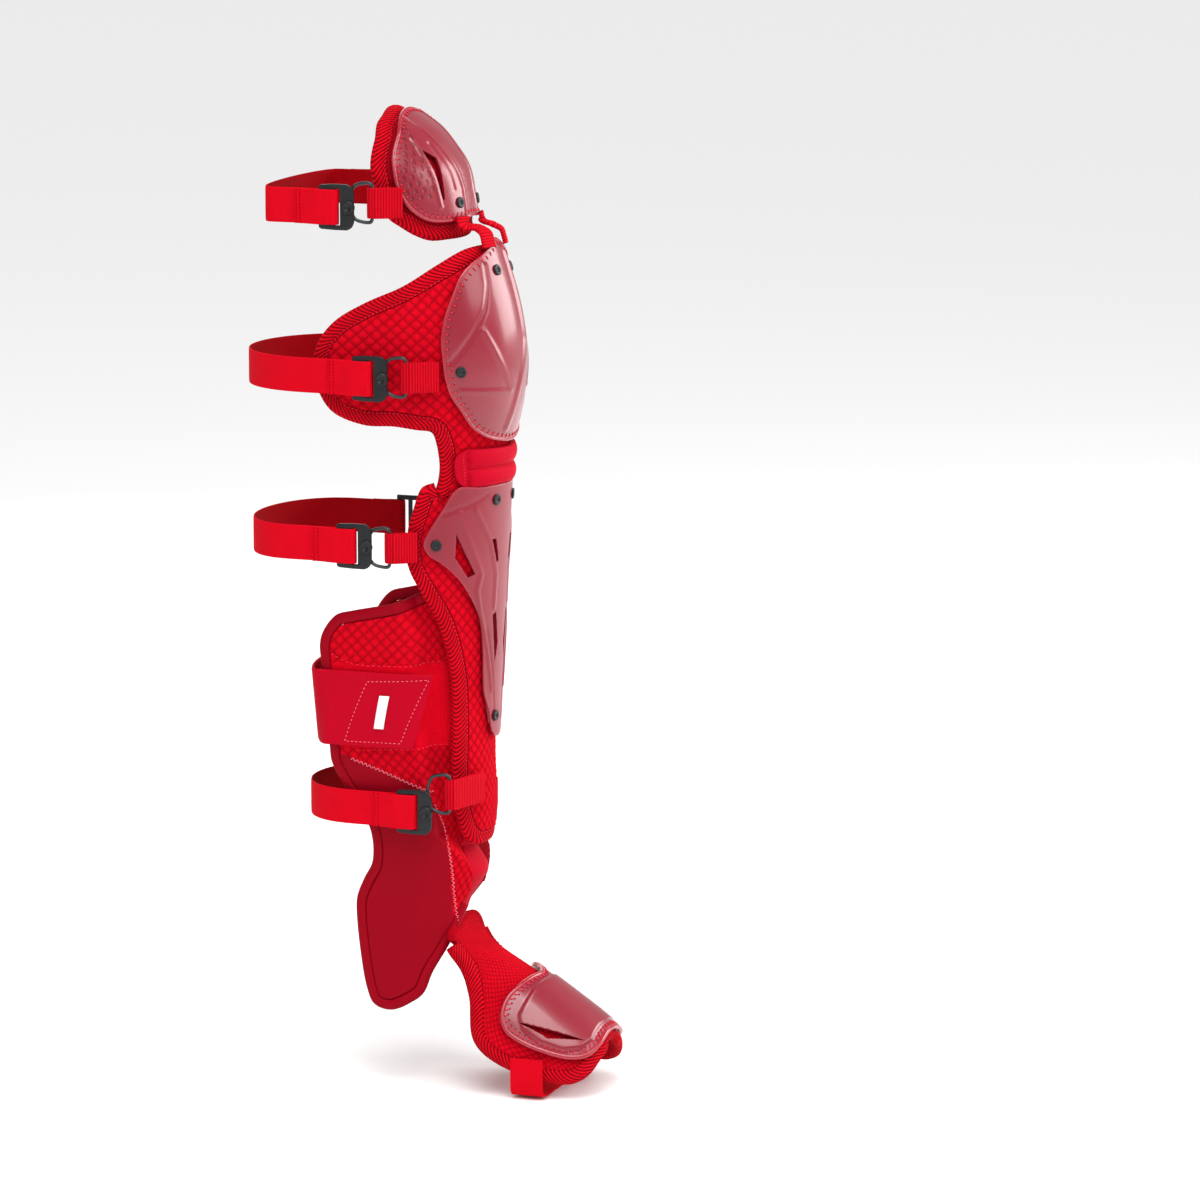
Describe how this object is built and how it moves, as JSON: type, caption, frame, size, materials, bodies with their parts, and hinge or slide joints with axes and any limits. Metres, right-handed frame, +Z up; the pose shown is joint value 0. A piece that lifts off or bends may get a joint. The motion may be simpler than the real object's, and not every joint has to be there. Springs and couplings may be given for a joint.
{
  "type": "catcher leg guard",
  "caption": "Full-length catcher's leg guard with thigh cup, knee, shin and toe shells over padded fabric, calf wings, a closing band and elastic straps on hooks and rings",
  "frame": {"origin": "on the leg's axis at the height of the strap below the knee", "axes": "+Z up the leg, -Y forwards over the shin, -X to the outer side of the right leg"},
  "size_m": [0.1521, 0.2774, 0.715],
  "materials": {
    "red_shell": "glossy moulded crimson shell",
    "satin_shell": "satin moulded crimson shell",
    "quilted_fabric": "quilted bright red knit over foam",
    "rib_binding": "ribbed knit edge binding",
    "smooth_fabric": "smooth crimson fabric",
    "smooth_binding": "smooth crimson edge binding",
    "webbing": "woven red elastic and webbing",
    "black_mesh": "black open mesh lining",
    "black_hardware": "black moulded hardware",
    "dark_wire": "dark plated wire",
    "white_mark": "raised white mark"
  },
  "bodies": {
    "root": {"thigh_binding": "rib_binding", "thigh_pad": "quilted_fabric", "thigh_shell": "red_shell", "knee_binding": "rib_binding", "knee_pad": "quilted_fabric", "knee_shell": "red_shell", "shin_binding": "rib_binding", "shin_pad": "quilted_fabric", "shin_shell": "satin_shell", "thigh_rivet_1": "black_hardware", "thigh_rivet_2": "black_hardware", "knee_rivet_1": "black_hardware", "knee_rivet_2": "black_hardware", "knee_rivet_3": "black_hardware", "knee_rivet_4": "black_hardware", "shin_rivet_1": "black_hardware", "shin_rivet_2": "black_hardware", "shin_rivet_3": "black_hardware", "shin_rivet_4": "black_hardware", "shin_rivet_5": "black_hardware", "shin_cuff": "smooth_fabric", "calf_wing_outer": "quilted_fabric", "calf_wing_outer_binding": "smooth_binding", "link_outer": "webbing", "calf_wing_inner": "quilted_fabric", "calf_wing_inner_binding": "smooth_binding", "link_inner": "webbing", "ankle_pad": "quilted_fabric", "foot_binding": "rib_binding", "foot_pad": "quilted_fabric", "toe_shell": "red_shell", "thigh_strap": "webbing", "thigh_hook": "black_hardware", "thigh_slider": "black_hardware", "thigh_ring": "dark_wire", "thigh_tab_outer": "webbing", "thigh_tab_inner": "webbing", "knee_strap": "webbing", "knee_hook": "black_hardware", "knee_slider": "black_hardware", "knee_ring": "dark_wire", "knee_tab_outer": "webbing", "knee_tab_inner": "webbing", "shin_strap": "webbing", "shin_hook": "black_hardware", "shin_slider": "black_hardware", "shin_ring": "dark_wire", "shin_tab_outer": "webbing", "shin_tab_inner": "webbing", "ankle_strap": "webbing", "ankle_hook": "black_hardware", "ankle_slider": "black_hardware", "ankle_ring": "dark_wire", "ankle_tab_outer": "webbing", "ankle_tab_inner": "webbing", "calf_band": "smooth_fabric", "band_badge": "white_mark", "sole_band": "webbing", "knee_lining": "black_mesh"}
  },
  "joints": []
}
